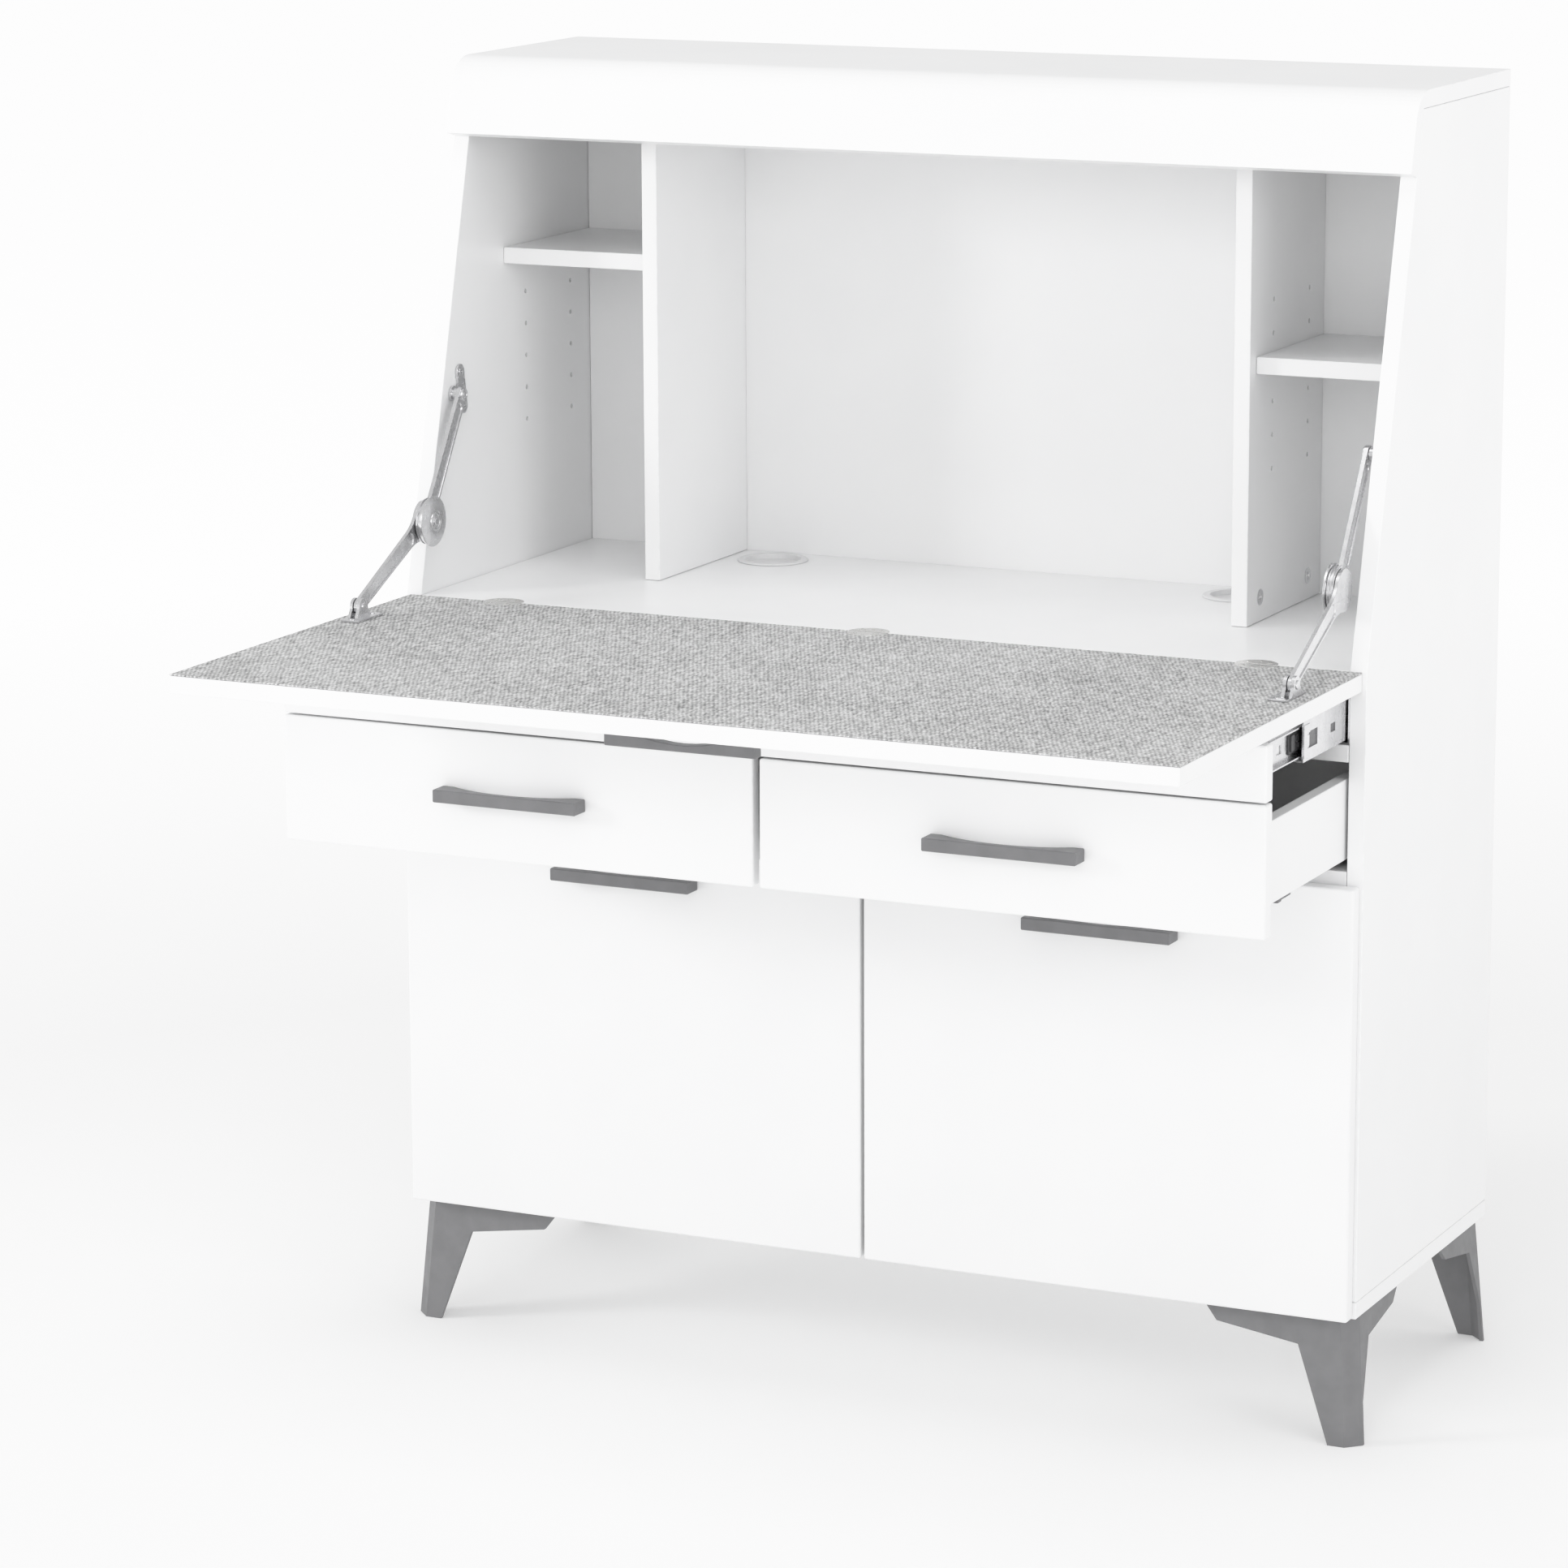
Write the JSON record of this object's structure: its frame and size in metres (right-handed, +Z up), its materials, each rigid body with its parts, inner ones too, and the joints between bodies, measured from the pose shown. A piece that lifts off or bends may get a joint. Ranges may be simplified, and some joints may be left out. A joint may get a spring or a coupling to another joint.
{
  "type": "secretary desk",
  "caption": "White secretary cabinet on angled feet, its fall flap open on folding stays as a writing surface, with a pull-out tray, drawers, doors and open compartments.",
  "frame": {"origin": "middle of the bounding box on the floor, with the flap open and the tray and drawers part open as in the picture", "axes": "+X to the desk's right as seen from the front, +Y to the back, +Z up; the front faces -Y"},
  "size_m": [0.995, 0.8215, 1.24],
  "materials": {
    "white_board": "white satin laminate on chipboard",
    "dark_board": "dark grey laminate",
    "foot_metal": "mid-grey satin paint",
    "handle_metal": "mid-grey satin paint",
    "zinc_steel": "bright zinc",
    "nickel": "satin nickel",
    "woven_sheet": "grey woven-look desk sheet",
    "outlet_plastic": "light grey satin plastic"
  },
  "bodies": {
    "case": {"side_panel_left": "white_board", "side_panel_right": "white_board", "top_cap": "white_board", "bottom_board": "white_board", "back_panel": "white_board", "writing_deck": "white_board", "divider_left": "white_board", "divider_right": "white_board", "shelf_left": "white_board", "shelf_right": "white_board", "cross_board_upper": "white_board", "cross_board_lower": "dark_board", "drawer_partition": "white_board", "cupboard_partition": "white_board", "foot_front_left": "foot_metal", "foot_front_right": "foot_metal", "foot_back_left": "foot_metal", "foot_back_right": "foot_metal", "cable_outlet_left": "outlet_plastic", "cable_outlet_right": "outlet_plastic", "flap_hinge_left_deck_half": "nickel", "flap_hinge_middle_deck_half": "nickel", "flap_hinge_right_deck_half": "nickel", "stay_left_wall_plate": "zinc_steel", "stay_right_wall_plate": "zinc_steel", "slide_left_case_member": "zinc_steel", "slide_right_case_member": "zinc_steel", "drawer_left_runners": "zinc_steel", "drawer_right_runners": "zinc_steel"},
    "flap": {"flap_board": "white_board", "writing_surface": "woven_sheet", "flap_handle": "handle_metal", "flap_hinge_left_flap_half": "nickel", "flap_hinge_middle_flap_half": "nickel", "flap_hinge_right_flap_half": "nickel", "stay_left_flap_bracket": "zinc_steel", "stay_right_flap_bracket": "zinc_steel"},
    "tray": {"pullout_front": "white_board", "pullout_tray": "white_board", "slide_left_tray_member": "zinc_steel", "slide_right_tray_member": "zinc_steel"},
    "slide_middles": {"slide_left_middle_member": "zinc_steel", "slide_right_middle_member": "zinc_steel"},
    "stay_left_upper": {"stay_left_upper_arm": "zinc_steel"},
    "stay_left_lower": {"stay_left_lower_arm": "zinc_steel"},
    "drawer_left": {"drawer_left_front": "white_board", "drawer_left_box": "white_board", "drawer_left_bottom": "dark_board", "drawer_left_handle": "handle_metal"},
    "door_left": {"door_left": "white_board", "door_left_handle": "handle_metal"},
    "stay_right_upper": {"stay_right_upper_arm": "zinc_steel"},
    "stay_right_lower": {"stay_right_lower_arm": "zinc_steel"},
    "drawer_right": {"drawer_right_front": "white_board", "drawer_right_box": "white_board", "drawer_right_bottom": "dark_board", "drawer_right_handle": "handle_metal"},
    "door_right": {"door_right": "white_board", "door_right_handle": "handle_metal"}
  },
  "joints": [
    {"name": "flap_hinge", "type": "hinge", "parent": "case", "child": "flap", "pos_m": [0, 0.03525, 0.73], "axis": [-1, 0, 0], "range_deg": [0, 104.3]},
    {"name": "tray_slide", "type": "slide", "parent": "case", "child": "tray", "axis": [0, -1, 0], "range_m": [-0.228, 0.1]},
    {"name": "slide_middle_slide", "type": "slide", "parent": "case", "child": "slide_middles", "axis": [0, -1, 0], "range_m": [-0.115, 0.051]},
    {"name": "stay_left_upper_pivot", "type": "hinge", "parent": "case", "child": "stay_left_upper", "pos_m": [-0.4654, 0.10365, 0.9176], "axis": [1, 0, 0], "range_deg": [0, 95.5]},
    {"name": "stay_left_lower_pivot", "type": "hinge", "parent": "flap", "child": "stay_left_lower", "pos_m": [-0.46945, -0.09775, 0.7415], "axis": [1, 0, 0], "range_deg": [0, 79]},
    {"name": "drawer_left_slide", "type": "slide", "parent": "case", "child": "drawer_left", "axis": [0, -1, 0], "range_m": [-0.228, 0.075]},
    {"name": "door_left_hinge", "type": "hinge", "parent": "case", "child": "door_left", "pos_m": [-0.4885, 0.01875, 0.3285], "axis": [0, 0, -1], "range_deg": [0, 110]},
    {"name": "stay_right_upper_pivot", "type": "hinge", "parent": "case", "child": "stay_right_upper", "pos_m": [0.4654, 0.10365, 0.9176], "axis": [1, 0, 0], "range_deg": [0, 95.5]},
    {"name": "stay_right_lower_pivot", "type": "hinge", "parent": "flap", "child": "stay_right_lower", "pos_m": [0.46945, -0.09775, 0.7415], "axis": [1, 0, 0], "range_deg": [0, 79]},
    {"name": "drawer_right_slide", "type": "slide", "parent": "case", "child": "drawer_right", "axis": [0, -1, 0], "range_m": [-0.228, 0.075]},
    {"name": "door_right_hinge", "type": "hinge", "parent": "case", "child": "door_right", "pos_m": [0.4885, 0.01875, 0.3285], "axis": [0, 0, 1], "range_deg": [0, 110]}
  ],
  "couplings": [
    {"joint": "slide_middle_slide", "follows": "tray_slide", "ratio": 0.5},
    {"joint": "stay_left_upper_pivot", "follows": "flap_hinge", "ratio": 0.90942},
    {"joint": "stay_left_lower_pivot", "follows": "flap_hinge", "ratio": 0.75097},
    {"joint": "stay_right_upper_pivot", "follows": "flap_hinge", "ratio": 0.90942},
    {"joint": "stay_right_lower_pivot", "follows": "flap_hinge", "ratio": 0.75097}
  ]
}
